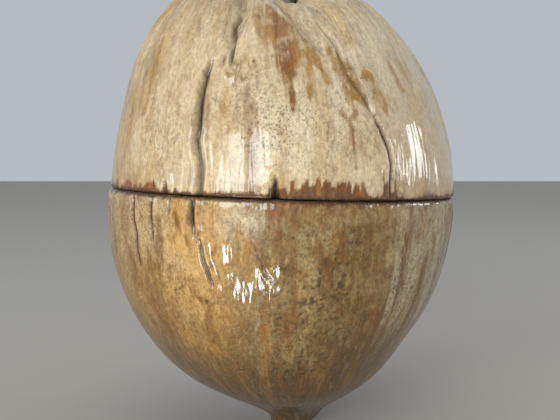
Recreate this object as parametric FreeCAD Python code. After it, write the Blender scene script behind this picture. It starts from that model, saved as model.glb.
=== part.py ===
"""Rattle made from one whole dried husked fruit, cut across into a base and a lid.

Frame: origin at the centre of the flat ground on the pointed lower end, +Z up,
the front faces -Y, +X to the right. Millimetres.
"""
import FreeCAD, Part
import math
import os

V = FreeCAD.Vector

# ---------------------------------------------------------------- dimensions
SEAM_Z = 121.7            # height of the saw cut on the axis
SEAM_TILT = 1.7           # degrees, the cut is lower on the right
SEAM_GAP = 0.6            # width of the saw cut
LID_INSET = 0.5           # the lid's outside is this much smaller than the base's ...
LID_SHIFT = 0.5           # ... and sits this far to the right

CAVITY_X = -4.5           # the nut inside is centred on the fruit's belly
CAVITY_Z = 117.0
NUT_R = 60.0              # nut, outside: half width and half height
NUT_H = 68.0
SHELL_T = 4.0             # thickness of the hard shell

RING_BOTTOM = 105.0       # glued hoop
RING_SHOULDER = 119.2
RING_TOP = 131.0
RING_LIP_R = 54.5
RING_T = 3.0

SEED_R = 6.0
SEED_REST_GAP = 0.3

# Outside of the fruit, from the ground tip to the floor of the stem pit:
# (radius, height, sideways offset of the section's centre)
PROFILE = [
    (9.8, 0.0, 0.0),
    (10.2, 1.6, 1.1),
    (12.1, 3.8, 1.5),
    (14.3, 7.0, 2.6),
    (19.2, 11.2, 0.2),
    (27.4, 16.2, -0.6),
    (38.4, 22.3, -2.0),
    (47.3, 28.2, -3.4),
    (55.3, 35.5, -4.9),
    (62.9, 45.0, -6.2),
    (70.3, 55.5, -6.1),
    (76.4, 66.5, -5.7),
    (81.0, 78.0, -5.4),
    (84.1, 90.0, -5.2),
    (85.8, 102.0, -5.1),
    (86.7, 114.0, -4.8),
    (86.3, 126.0, -4.5),
    (85.1, 138.0, -4.2),
    (82.8, 150.0, -4.5),
    (79.8, 161.0, -5.0),
    (76.7, 172.0, -5.9),
    (73.0, 182.0, -6.9),
    (68.0, 191.5, -7.9),
    (61.9, 200.5, -8.7),
    (54.3, 209.5, -9.9),
    (45.4, 217.5, -11.6),
    (36.4, 223.8, -11.2),
    (28.4, 228.2, -9.0),
    (21.4, 231.0, -5.8),
    (15.8, 230.4, -2.8),
    (12.2, 226.0, -1.0),
    (10.0, 219.5, -0.2),
    (8.8, 212.5, 0.0),
    (7.6, 208.0, 0.0),
]
CREST = 28                # row of PROFILE on the crown's crest
STEPS_ROUND = 60          # control points round a section

# Valleys between the lobes of the crown:
# (azimuth in degrees, half width in degrees, depth in mm, height where the valley fades out)
VALLEYS = [
    (-112.0, 9.0, 3.6, 150.0),
    (-72.0, 12.0, 4.2, 165.0),
    (-22.0, 13.0, 2.6, 160.0),
    (35.0, 14.0, 3.6, 150.0),
    (92.0, 12.0, 3.2, 158.0),
    (148.0, 14.0, 3.8, 152.0),
    (-158.0, 11.0, 2.6, 160.0),
]
SADDLE_AZIMUTH = -78.0    # the crown's rim dips here, so the pit shows from the front
SADDLE_WIDTH = 30.0
SADDLE_DROP = 18.0
BELLY_FLATS = 0.7         # the fruit is faintly three-sided


def bump(delta_deg, width_deg):
    """Smooth bell over an angle, 1 in the middle."""
    delta = (delta_deg + 180.0) % 360.0 - 180.0
    return math.exp(-(delta / width_deg) ** 2)


def smooth(t):
    t = max(0.0, min(1.0, t))
    return t * t * (3.0 - 2.0 * t)


def outside_point(row, step, inset, shift):
    """Control point of the fruit's outside."""
    radius, height, offset = PROFILE[row]
    azimuth = 360.0 * step / STEPS_ROUND
    angle = math.radians(azimuth)
    crest_height = PROFILE[CREST][1]

    radius += BELLY_FLATS * smooth(height / 60.0) * math.cos(3.0 * (angle - math.radians(-95.0)))
    valley = 0.0
    for at, width, depth, fade in VALLEYS:
        valley += depth * bump(azimuth - at, width) * smooth((height - fade) / (crest_height - fade))
    on_outside = row <= CREST
    if on_outside:
        slope = smooth((height - 195.0) / 35.0)
        radius -= valley * (1.0 - slope)
        height -= 1.6 * valley * slope
    else:
        depth_in_pit = (row - CREST) / (len(PROFILE) - 1.0 - CREST)
        height -= 1.6 * valley * (1.0 - smooth(depth_in_pit * 2.2))
    near_crest = smooth(1.0 - abs(row - CREST) / 5.5)
    height -= SADDLE_DROP * bump(azimuth - SADDLE_AZIMUTH, SADDLE_WIDTH) * near_crest
    if row == len(PROFILE) - 1 or row == 0:
        height = PROFILE[row][1]

    radius -= inset * smooth((height - 60.0) / 30.0) if on_outside else 0.0
    # a periodic cubic through control points lies a little inside them
    radius *= 3.0 / (2.0 + math.cos(2.0 * math.pi / STEPS_ROUND))
    return V(offset + shift + radius * math.cos(angle), radius * math.sin(angle), height)


def fruit(inset=0.0, shift=0.0):
    """Closed solid of the whole fruit: one smooth skin, a ground tip, the floor of the stem pit."""
    poles = [[outside_point(row, step, inset, shift) for step in range(STEPS_ROUND)]
             for row in range(len(PROFILE))]
    rows = len(poles)
    row_knots = list(range(rows - 2))
    row_mults = [4] + [1] * (rows - 4) + [4]
    round_knots = list(range(STEPS_ROUND + 1))
    round_mults = [1] * (STEPS_ROUND + 1)
    skin = Part.BSplineSurface()
    skin.buildFromPolesMultsKnots(poles, row_mults, round_mults, row_knots, round_knots,
                                  False, True, 3, 3)
    skin_face = skin.toShape()
    caps = []
    for edge in skin_face.Edges:
        low, high = edge.BoundBox.ZMin, edge.BoundBox.ZMax
        if edge.isClosed() and high - low < 1e-6:
            caps.append(Part.Face(Part.Wire([edge])))
    shell = Part.makeShell([skin_face] + caps)
    shell.sewShape()
    solid = Part.Solid(shell)
    if solid.Volume < 0:
        solid.reverse()
    return solid


def ellipsoid(half_width, half_height):
    """Ellipsoid of revolution round the nut's upright axis."""
    curve = Part.BSplineCurve()
    arc = Part.Ellipse(V(0, 0, 0), half_height, half_width).toShape(-math.pi / 2.0 + math.pi / 2.0, math.pi)
    arc.rotate(V(0, 0, 0), V(0, 0, 1), 90.0)     # long axis along Y, bulge to -X
    arc.rotate(V(0, 0, 0), V(1, 0, 0), 90.0)     # stand it up: long axis along Z
    ends = [v.Point for v in arc.Vertexes]
    outline = Part.Wire([arc, Part.makeLine(ends[1], ends[0])])
    solid = Part.Face(outline).revolve(V(0, 0, 0), V(0, 0, 1), 360.0)
    solid.translate(V(CAVITY_X, 0, CAVITY_Z))
    return solid


def half_space(above):
    """Big block on one side of the tilted saw cut, half the cut's width away from it."""
    size = 400.0
    block = Part.makeBox(size, size, size)
    if above:
        block.translate(V(-size / 2, -size / 2, SEAM_GAP / 2))
    else:
        block.translate(V(-size / 2, -size / 2, -size - SEAM_GAP / 2))
    block.rotate(V(0, 0, 0), V(0, 1, 0), SEAM_TILT)
    block.translate(V(0, 0, SEAM_Z))
    return block


def nut_radius(height, half_width, half_height):
    return half_width * math.sqrt(1.0 - ((height - CAVITY_Z) / half_height) ** 2)


def locating_ring():
    """Hoop glued inside the lower shell; its upper lip is straight, so the lid lifts off freely."""
    steps = 6
    outer = []
    for i in range(steps + 1):
        z = RING_BOTTOM + (RING_SHOULDER - RING_BOTTOM) * i / steps
        outer.append(V(nut_radius(z, NUT_R - SHELL_T, NUT_H - SHELL_T), 0, z))
    inner_r = RING_LIP_R - RING_T
    outline = [V(inner_r, 0, RING_BOTTOM)] + outer
    outline += [V(RING_LIP_R, 0, RING_SHOULDER), V(RING_LIP_R, 0, RING_TOP - 0.8),
                V(RING_LIP_R - 0.8, 0, RING_TOP), V(inner_r, 0, RING_TOP), V(inner_r, 0, RING_BOTTOM)]
    ring = Part.Face(Part.makePolygon(outline)).revolve(V(0, 0, 0), V(0, 0, 1), 360.0)
    ring.translate(V(CAVITY_X, 0, 0))
    return ring


def stem_stub():
    """Broken-off stalk standing on the floor of the stem pit, leaning a little."""
    floor = PROFILE[-1][1]
    stub = Part.makeCone(3.4, 2.5, 14.0, V(0, 0, 0))
    knob = Part.makeSphere(2.9, V(0.4, 0, 13.6))
    stub = stub.fuse(knob).removeSplitter()
    stub.translate(V(0.3, 0.4, floor))
    return stub


def calyx_scale(azimuth):
    """Dried scale on the floor of the pit, leaning outwards against nothing: foot, blade, tip."""
    floor = PROFILE[-1][1]
    outline = Part.Wire([
        Part.makePolygon([V(-2.4, 0, 0), V(2.4, 0, 0)]).Edges[0],
        Part.Arc(V(2.4, 0, 0), V(2.2, 0, 5.0), V(0.0, 0, 9.5)).toShape(),
        Part.Arc(V(0.0, 0, 9.5), V(-2.2, 0, 5.0), V(-2.4, 0, 0)).toShape(),
    ])
    scale = Part.Face(outline).extrude(V(0, 0.9, 0))
    scale.rotate(V(0, 0, 0), V(1, 0, 0), -6.0)
    scale.translate(V(0, 4.4, 0.1))
    scale.rotate(V(0, 0, 0), V(0, 0, 1), azimuth - 90.0)
    scale.translate(V(0.3, 0.4, floor))
    return scale


def seed_places():
    """Seats of the seeds on the rounded floor of the lower shell: three in the middle, nine round them."""
    places = []
    for count, radius, turn in ((3, 7.2, 10.0), (9, 19.6, 0.0)):
        for i in range(count):
            a = math.radians(turn + 360.0 * i / count)
            places.append((radius * math.cos(a), radius * math.sin(a)))
    return places


def seed(x, y):
    """Round seed resting on the shell's floor."""
    a = NUT_R - SHELL_T
    c = NUT_H - SHELL_T
    rho = math.hypot(x, y)
    # lowest centre height that keeps the whole seed clear of the floor
    need = -1e9
    for i in range(-60, 61):
        dx = SEED_R * i / 60.0
        wall = c * math.sqrt(1.0 - ((rho + dx) / a) ** 2)
        need = max(need, CAVITY_Z - wall + math.sqrt(SEED_R ** 2 - dx ** 2))
    ball = Part.makeSphere(SEED_R)
    ball.translate(V(CAVITY_X + x, y, need + SEED_REST_GAP))
    return ball


def build():
    nut = ellipsoid(NUT_R, NUT_H)
    hollow = ellipsoid(NUT_R - SHELL_T, NUT_H - SHELL_T)
    below, above = half_space(False), half_space(True)

    parts = {
        "base_husk": fruit().common(below).cut(nut),
        "base_inner_shell": nut.common(below).cut(hollow),
        "locating_ring": locating_ring(),
        "lid_husk": fruit(LID_INSET, LID_SHIFT).common(above).cut(nut),
        "lid_inner_shell": nut.common(above).cut(hollow),
        "stem_stub": stem_stub(),
        "calyx_scale_left": calyx_scale(165.0),
        "calyx_scale_right": calyx_scale(15.0),
        "calyx_scale_rear": calyx_scale(90.0),
    }
    for number, (x, y) in enumerate(seed_places(), start=1):
        parts["seed_%02d" % number] = seed(x, y)
    return parts


os.makedirs("parts", exist_ok=True)
for name, shape in build().items():
    if shape.ShapeType == "Compound" and len(shape.Solids) == 1:
        shape = shape.Solids[0]
    shape.exportStep("parts/%s.step" % name)
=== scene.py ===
"""Looks of the fruit rattle: a dried, varnished husk fruit cut into base and lid, with loose seeds inside."""
import math
import bmesh
import bpy
import numpy as np
from mathutils import Matrix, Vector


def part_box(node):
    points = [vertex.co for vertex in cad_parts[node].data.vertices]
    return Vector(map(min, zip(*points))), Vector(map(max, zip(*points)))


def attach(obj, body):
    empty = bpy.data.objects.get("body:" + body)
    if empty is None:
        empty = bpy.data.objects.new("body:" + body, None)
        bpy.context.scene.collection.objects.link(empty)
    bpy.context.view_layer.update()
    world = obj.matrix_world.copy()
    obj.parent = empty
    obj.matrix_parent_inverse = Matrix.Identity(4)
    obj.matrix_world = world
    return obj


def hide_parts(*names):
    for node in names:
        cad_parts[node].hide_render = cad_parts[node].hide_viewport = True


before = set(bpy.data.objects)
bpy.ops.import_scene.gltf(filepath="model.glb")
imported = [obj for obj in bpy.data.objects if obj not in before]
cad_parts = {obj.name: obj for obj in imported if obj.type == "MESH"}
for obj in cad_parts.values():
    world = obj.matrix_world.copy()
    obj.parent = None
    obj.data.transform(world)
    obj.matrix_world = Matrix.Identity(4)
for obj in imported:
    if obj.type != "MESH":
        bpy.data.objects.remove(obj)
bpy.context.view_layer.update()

MM = 0.001
rad = math.radians

# ------------------ camera, light, floor
CAMERA_TILT_DOWN = 4.167            # degrees below level
PANE_BLUE, SIDE_BLUE, CARD_BLUE = (0.86, 0.93, 1.0), (0.92, 0.96, 1.0), (0.9, 0.95, 1.0)
CARD_SPREAD = 80.0                  # degrees; keeps the low cards' light off the floor
scene = bpy.context.scene
scene.view_settings.view_transform = "Standard"
cam_data = bpy.data.cameras.new("camera")
cam_data.sensor_width = 36.0
cam_data.lens = 45.0
cam_data.clip_start = 0.01
camera = bpy.data.objects.new("camera", cam_data)
scene.collection.objects.link(camera)
camera.location = (-0.0049, -0.3595, 0.1378)
camera.rotation_euler = (rad(90.0 - CAMERA_TILT_DOWN), 0.0, 0.0)
scene.camera = camera


def area_light(name, azimuth, elevation, distance, width, height, power, colour=(1, 1, 1), aim=(0, 0, 0.12)):
    """Rectangular lamp that looks at the fruit. Azimuth 0 is in front (-Y), positive to the right."""
    data = bpy.data.lights.new(name, "AREA")
    data.shape = "RECTANGLE"
    data.size, data.size_y = width, height
    data.energy = power
    data.color = colour
    lamp = bpy.data.objects.new(name, data)
    a, e = rad(azimuth), rad(elevation)
    back = np.array([math.sin(a) * math.cos(e), -math.cos(a) * math.cos(e), math.sin(e)])
    lamp.location = np.array(aim) + back * distance
    x = np.cross([0, 0, 1], back)
    x /= np.linalg.norm(x)
    y = np.cross(back, x)
    lamp.rotation_euler = Matrix(np.array([x, y, back]).T.tolist()).to_euler()
    lamp.visible_camera = False
    scene.collection.objects.link(lamp)
    return lamp


def principled(name, **values):
    """New material with one Principled shader; returns material, nodes, links, shader."""
    m = bpy.data.materials.new(name)
    m.use_nodes = True
    shader = m.node_tree.nodes["Principled BSDF"]
    for key, value in values.items():
        shader.inputs[key.replace("_", " ")].default_value = value
    return m, m.node_tree.nodes, m.node_tree.links, shader


floor_mesh = bpy.data.meshes.new("floor")
floor_mesh.from_pydata([(-4, -4, 0), (4, -4, 0), (4, 4, 0), (-4, 4, 0)], [], [(0, 1, 2, 3)])
floor = bpy.data.objects.new("floor", floor_mesh)
scene.collection.objects.link(floor)
floor_mesh.materials.append(principled("pale_floor", Base_Color=(0.42, 0.385, 0.335, 1), Roughness=0.7)[0])

world = bpy.data.worlds.new("soft_room")
scene.world = world
world.use_nodes = True
world.node_tree.nodes["Background"].inputs["Color"].default_value = (0.77, 0.83, 0.89, 1)
world.node_tree.nodes["Background"].inputs["Strength"].default_value = 0.60

# window panes to the left of the viewer, and a wide one to the right
area_light("pane_a", -31, 15, 1.6, 0.58, 0.54, 10.5, PANE_BLUE)
area_light("pane_b", -12.5, 15, 1.6, 0.19, 0.54, 3.8, PANE_BLUE)
area_light("pane_c", -60, 15, 1.6, 0.28, 0.54, 5.5, PANE_BLUE)
area_light("side_window_a", 74, 12, 1.6, 0.20, 0.44, 3.2, SIDE_BLUE)
area_light("side_window_b", 99, 12, 1.6, 0.34, 0.44, 5.0, SIDE_BLUE)
area_light("ceiling", -20, 75, 1.8, 1.4, 1.4, 4.0)
# Small low cards: they stand for the panes' reflections in a polished table top, and were placed
# for the view from the front.
for k, (azimuth, elevation, distance, width, height, power, at) in enumerate([
        (-34, -20, 0.16, 0.025, 0.034, 0.040, (-0.026, -0.082, 0.102)),
        (-2, -33, 0.13, 0.012, 0.032, 0.020, (-0.006, -0.084, 0.085)),
        (-18, -36, 0.11, 0.008, 0.026, 0.013, (-0.017, -0.081, 0.080)),
        (-29, -35, 0.11, 0.006, 0.022, 0.009, (-0.020, -0.080, 0.083)),
        (-8, -31, 0.13, 0.007, 0.030, 0.010, (-0.010, -0.083, 0.088))]):
    card = area_light(f"low_card_{k + 1}", azimuth, elevation, distance, width, height, 0.4 * power,
                      CARD_BLUE, at)
    card.data.spread = rad(CARD_SPREAD)

# ------------------ outside of the fruit
# The same form as the CAD husk: radius, height, sideways offset of each section, in mm.
PROFILE = np.array([
    (9.8, 0.0, 0.0), (10.2, 1.6, 1.1), (12.1, 3.8, 1.5), (14.3, 7.0, 2.6), (19.2, 11.2, 0.2),
    (27.4, 16.2, -0.6), (38.4, 22.3, -2.0), (47.3, 28.2, -3.4), (55.3, 35.5, -4.9), (62.9, 45.0, -6.2),
    (70.3, 55.5, -6.1), (76.4, 66.5, -5.7), (81.0, 78.0, -5.4), (84.1, 90.0, -5.2), (85.8, 102.0, -5.1),
    (86.7, 114.0, -4.8), (86.3, 126.0, -4.5), (85.1, 138.0, -4.2), (82.8, 150.0, -4.5), (79.8, 161.0, -5.0),
    (76.7, 172.0, -5.9), (73.0, 182.0, -6.9), (68.0, 191.5, -7.9), (61.9, 200.5, -8.7), (54.3, 209.5, -9.9),
    (45.4, 217.5, -11.6), (36.4, 223.8, -11.2), (28.4, 228.2, -9.0), (21.4, 231.0, -5.8), (15.8, 230.4, -2.8),
    (12.2, 226.0, -1.0), (10.0, 219.5, -0.2), (8.8, 212.5, 0.0), (7.6, 208.0, 0.0)])
CREST = 28
ROUND = 60
VALLEYS = [(-112, 9, 3.6, 150), (-72, 12, 4.2, 165), (-22, 13, 2.6, 160), (35, 14, 3.6, 150),
           (92, 12, 3.2, 158), (148, 14, 3.8, 152), (-158, 11, 2.6, 160)]
SEAM_Z, SEAM_TILT, SEAM_GAP = 121.7, rad(1.7), 0.6
NUT_X, NUT_Z, NUT_R, NUT_H = -4.5, 117.0, 60.0, 68.0


def smooth(t):
    t = np.clip(t, 0.0, 1.0)
    return t * t * (3.0 - 2.0 * t)


def bump(delta, width):
    return np.exp(-((((delta + 180.0) % 360.0) - 180.0) / width) ** 2)


def control_points(inset, shift):
    n = len(PROFILE)
    row = np.arange(n)[:, None] * np.ones((1, ROUND))
    radius, height, offset = [PROFILE[:, k][:, None] * np.ones((1, ROUND)) for k in range(3)]
    azimuth = 360.0 * np.arange(ROUND)[None, :] / ROUND * np.ones((n, 1))
    angle = np.radians(azimuth)
    crest = PROFILE[CREST, 1]
    radius = radius + 0.7 * smooth(height / 60.0) * np.cos(3.0 * (angle - rad(-95.0)))
    valley = sum(d * bump(azimuth - at, w) * smooth((height - fade) / (crest - fade))
                 for at, w, d, fade in VALLEYS)
    outer = row <= CREST
    slope = smooth((height - 195.0) / 35.0)
    pit = (row - CREST) / (n - 1.0 - CREST)
    radius = np.where(outer, radius - valley * (1 - slope), radius)
    z = height - np.where(outer, 1.6 * valley * slope, 1.6 * valley * (1 - smooth(pit * 2.2)))
    z = z - 18.0 * bump(azimuth + 78.0, 30.0) * smooth(1.0 - abs(row - CREST) / 5.5)
    z[0], z[-1] = height[0], height[-1]
    radius = np.where(outer, radius - inset * smooth((z - 60.0) / 30.0), radius)
    radius = radius * 3.0 / (2.0 + math.cos(2.0 * math.pi / ROUND))
    return np.stack([offset + shift + radius * np.cos(angle), radius * np.sin(angle), z], -1)


def clamped_basis(n, u):
    """Cubic B-spline basis on evenly spaced knots with clamped ends; rows follow u in 0..n-3."""
    knots = np.concatenate([[0] * 3, np.arange(n - 2), [n - 3] * 3]).astype(float)
    u = np.clip(u, 0, n - 3 - 1e-9)
    basis = [((knots[i] <= u) & (u < knots[i + 1])).astype(float) for i in range(len(knots) - 1)]
    for degree in (1, 2, 3):
        for i in range(len(knots) - 1 - degree):
            left, right = knots[i + degree] - knots[i], knots[i + degree + 1] - knots[i + 1]
            value = 0.0
            if left > 0:
                value = value + (u - knots[i]) / left * basis[i]
            if right > 0:
                value = value + (knots[i + degree + 1] - u) / right * basis[i + 1]
            basis[i] = value
    return np.stack(basis[:n], -1)


def round_basis(azimuth):
    t = azimuth / 360.0 * ROUND
    d = abs((t[:, None] - np.arange(ROUND)[None, :] + ROUND / 2) % ROUND - ROUND / 2)
    return np.where(d < 1, 2 / 3 - d * d + d ** 3 / 2, np.where(d < 2, (2 - d) ** 3 / 6, 0.0))


def skin_grid(azimuth, rows, inset=0.0, shift=0.0):
    """Points of the smooth skin: rows values of u by azimuths."""
    points = control_points(inset, shift)
    across = np.tensordot(round_basis(azimuth), points, (1, 1))          # azimuth, row, xyz
    return np.tensordot(clamped_basis(len(PROFILE), rows), across, (1, 1))


# ------------------ noise
def hashed(i, j, k, seed):
    h = (i * 374761393 + j * 668265263 + k * 2147483647 + seed * 1274126177) & 0xFFFFFFFF
    h = ((h ^ (h >> 13)) * 1274126177) & 0xFFFFFFFF
    h = ((h ^ (h >> 16)) * 2246822519) & 0xFFFFFFFF
    return ((h ^ (h >> 15)) & 0xFFFFFF) / float(0xFFFFFF)


def noise(p, seed=0):
    """Value noise in -1..1 at points p (..., 3)."""
    cell = np.floor(p).astype(np.int64)
    f = p - cell
    f = f * f * f * (f * (f * 6 - 15) + 10)
    total = 0.0
    for a in (0, 1):
        for b in (0, 1):
            for c in (0, 1):
                w = ((f[..., 0] if a else 1 - f[..., 0]) * (f[..., 1] if b else 1 - f[..., 1])
                     * (f[..., 2] if c else 1 - f[..., 2]))
                total = total + w * hashed(cell[..., 0] + a, cell[..., 1] + b, cell[..., 2] + c, seed)
    return total * 2.0 - 1.0


def fbm(p, octaves=4, seed=0, gain=0.5):
    total, scale, weight = 0.0, 1.0, 1.0
    for o in range(octaves):
        total = total + weight * noise(p * scale, seed + 17 * o)
        scale, weight = scale * 2.03, weight * gain
    return total


# ------------------ husk halves
COLUMNS = 600
ROWS = 150
LID_INSET, LID_SHIFT = 0.5, 0.5     # mm: the lid is this much smaller, and this far to the right
FACE_RINGS = (0.06, 0.35, 0.7)      # parts of the way in over the saw cut's face
HOLLOW_RINGS = (0.0, 0.12, 0.3, 0.55, 0.8, 1.0)     # parts of the way from the cut to the nut's pole
turn = np.arange(COLUMNS) / COLUMNS * 2.0 - 1.0
AZIMUTH = -90.0 + 180.0 * (0.62 * turn + 0.38 * turn ** 3)      # finer at the front
FINE_U = np.linspace(0.0, len(PROFILE) - 3.0, 700)


def seam_height(x, side):
    """Height of the saw cut's face, side +1 for the lid, -1 for the base, in mm."""
    return SEAM_Z - math.tan(SEAM_TILT) * x + side * 0.5 * SEAM_GAP


def half_outside(side, rows, inset, shift):
    """Grid of skin points of one half. Row 0 is at the saw cut."""
    fine = skin_grid(AZIMUTH, FINE_U, inset, shift)
    out = np.zeros((rows, COLUMNS, 3))
    along = np.zeros((rows, COLUMNS))
    for k in range(COLUMNS):
        line = fine[:, k]
        over = line[:, 2] - seam_height(line[:, 0], side)
        i = int(np.argmax(over > 0))
        t = -over[i - 1] / (over[i] - over[i - 1])
        cut = line[i - 1] * (1 - t) + line[i] * t
        path = np.vstack([cut, line[i:]]) if side > 0 else np.vstack([cut, line[i - 1::-1]])
        length = np.concatenate([[0], np.cumsum(np.linalg.norm(np.diff(path, axis=0), axis=1))])
        near = np.array([0.0, 0.25, 0.5, 0.8, 1.2, 1.7, 2.3, 3.0])          # close rows at the rim
        s = np.concatenate([near, np.linspace(3.8, length[-1], rows - len(near))])
        for c in range(3):
            out[:, k, c] = np.interp(s, length, path[:, c])
        along[:, k] = s
    return out, along


def grid_normals(p):
    """Outward normals of a grid closed round its columns."""
    across = np.roll(p, -1, 1) - np.roll(p, 1, 1)
    down = np.gradient(p, axis=0)
    n = np.cross(across, down)
    n /= np.linalg.norm(n, axis=-1, keepdims=True) + 1e-12
    mid = p.shape[0] // 3
    centre = p[mid].mean(0)
    if ((p[mid] - centre) * n[mid]).sum() < 0:
        n = -n
    return n


def half_mesh(name, side, rows, inset, shift, shape):
    skin, along = half_outside(side, rows, inset, shift)
    normal = grid_normals(skin)
    offset, masks = shape(skin, along, side)
    skin = skin + normal * offset[..., None]
    skin[..., 2] = np.maximum(skin[..., 2], 0.0)        # nothing below the ground
    # the saw cut's face, from the rounded outer edge in to the nut, then the nut's hollow
    edge = skin[0].copy()
    hollow = []
    a = np.arctan2(edge[:, 1], edge[:, 0] - NUT_X)
    for f in FACE_RINGS:
        ring = edge.copy()
        wall_r = np.hypot(edge[:, 0] - NUT_X, edge[:, 1])
        face_r = NUT_R * 0.997
        r = wall_r * (1 - f) + face_r * f
        ring[:, 0], ring[:, 1] = NUT_X + r * np.cos(a), r * np.sin(a)
        ring[:, 2] = seam_height(ring[:, 0], side)
        hollow.append(ring)
    seam_z = seam_height(NUT_X, side)
    start = math.asin(min(1, (seam_z - NUT_Z) / NUT_H))
    end = side * rad(89.0)
    for f in HOLLOW_RINGS:
        t = start + (end - start) * f
        ring = edge.copy()
        ring[:, 0] = NUT_X + NUT_R * math.cos(t) * np.cos(a)
        ring[:, 1] = NUT_R * math.cos(t) * np.sin(a)
        ring[:, 2] = NUT_Z + NUT_H * math.sin(t)
        if f == 0.0:
            ring[:, 2] = seam_height(ring[:, 0], side)
        hollow.append(ring)
    rings = [skin[i] for i in range(rows - 1, -1, -1)] + hollow
    verts = np.vstack(rings) * MM
    count = len(rings)
    faces, slots = [], []
    k = np.arange(COLUMNS)
    kn = (k + 1) % COLUMNS
    for i in range(count - 1):
        q = np.stack([i * COLUMNS + k, i * COLUMNS + kn, (i + 1) * COLUMNS + kn, (i + 1) * COLUMNS + k], -1)
        faces.append(q)
        slots += [0 if i < rows - 1 else 1] * COLUMNS
    faces = np.vstack(faces)
    if side > 0:
        faces = faces[:, ::-1]
    top = len(verts)
    centres = [verts[:COLUMNS].mean(0), verts[-COLUMNS:].mean(0)]
    verts = np.vstack([verts, centres])
    last = (count - 1) * COLUMNS
    caps = [(kn[i], k[i], top) for i in range(COLUMNS)]
    caps += [(last + k[i], last + kn[i], top + 1) for i in range(COLUMNS)]
    if side > 0:
        caps = [c[::-1] for c in caps]
    mesh = bpy.data.meshes.new(name)
    mesh.from_pydata(verts.tolist(), [], faces.tolist() + caps)
    mesh.validate()
    mesh.polygons.foreach_set("use_smooth", [True] * len(mesh.polygons))
    mesh.polygons.foreach_set("material_index", slots + [0] * COLUMNS + [1] * COLUMNS)
    for key, grid in masks.items():
        wide = grid.ndim == 3
        attribute = mesh.attributes.new(key, "FLOAT_VECTOR" if wide else "FLOAT", "POINT")
        values = np.zeros((len(verts), 3) if wide else len(verts))
        values[:rows * COLUMNS] = grid[::-1].reshape((-1, 3) if wide else -1)
        attribute.data.foreach_set("vector" if wide else "value", values.reshape(-1))
    mesh.update()
    ob = bpy.data.objects.new(name, mesh)
    scene.collection.objects.link(ob)
    return ob


# ------------------ features of the skin
# Places are (azimuth in degrees, height in mm) on the outside; -90 is the front.
ARC = 1.4           # mm round the fruit for one degree, used only to space the points of a line
REACH = 16.0        # mm from a line beyond which it does nothing


def places(points, step=2.5):
    """Line in mm on the smooth skin through (azimuth, height, value...) points, and its values."""
    if len(points) == 1:
        points = points * 2
    line = []
    for p, q in zip(points[:-1], points[1:]):
        p, q = np.array(p, float), np.array(q, float)
        run = math.hypot((q[0] - p[0]) * ARC, q[1] - p[1])
        count = max(1, int(run / step))
        line += [p + (q - p) * t / count for t in range(count)]
    line.append(np.array(points[-1], float))
    line = np.array(line)
    grid = skin_grid(line[:, 0], FINE_U)
    top = int(np.argmax(FINE_U > CREST - 2.5))
    xyz = []
    for k, height in enumerate(line[:, 1]):
        column = grid[:top, k]
        xyz.append([np.interp(height, column[:, 2], column[:, c]) for c in range(3)])
    return np.array(xyz), line[:, 2:]


def nearest(p, points):
    """Every grid point's distance from a line, the line's values there, and the side (+1 right, as seen)."""
    xyz, values = places(points)
    best = np.full(p.shape[:-1], 1e9)
    kept = np.zeros(p.shape[:-1] + (values.shape[1],))
    side = np.zeros(p.shape[:-1])
    lo, hi = xyz.min(0) - REACH, xyz.max(0) + REACH
    near = ((p > lo) & (p < hi)).all(-1)
    q = p[near]
    b, kp, sd = best[near], kept[near], side[near]
    for i in range(max(1, len(xyz) - 1)):
        start, end = xyz[i], xyz[min(i + 1, len(xyz) - 1)]
        d = end - start
        t = np.clip(((q - start) @ d) / max(d @ d, 1e-9), 0, 1)
        gap = q - (start + t[:, None] * d)
        r = np.linalg.norm(gap, axis=-1)
        take = r < b
        b = np.where(take, r, b)
        if values.shape[1]:
            v = values[i] + t[:, None] * (values[min(i + 1, len(xyz) - 1)] - values[i])
            kp = np.where(take[:, None], v, kp)
        right = np.array([-start[1], start[0], 0.0])
        sd = np.where(take, np.sign(gap @ right), sd)
    best[near], kept[near], side[near] = b, kp, sd
    return best, kept, side
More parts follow.
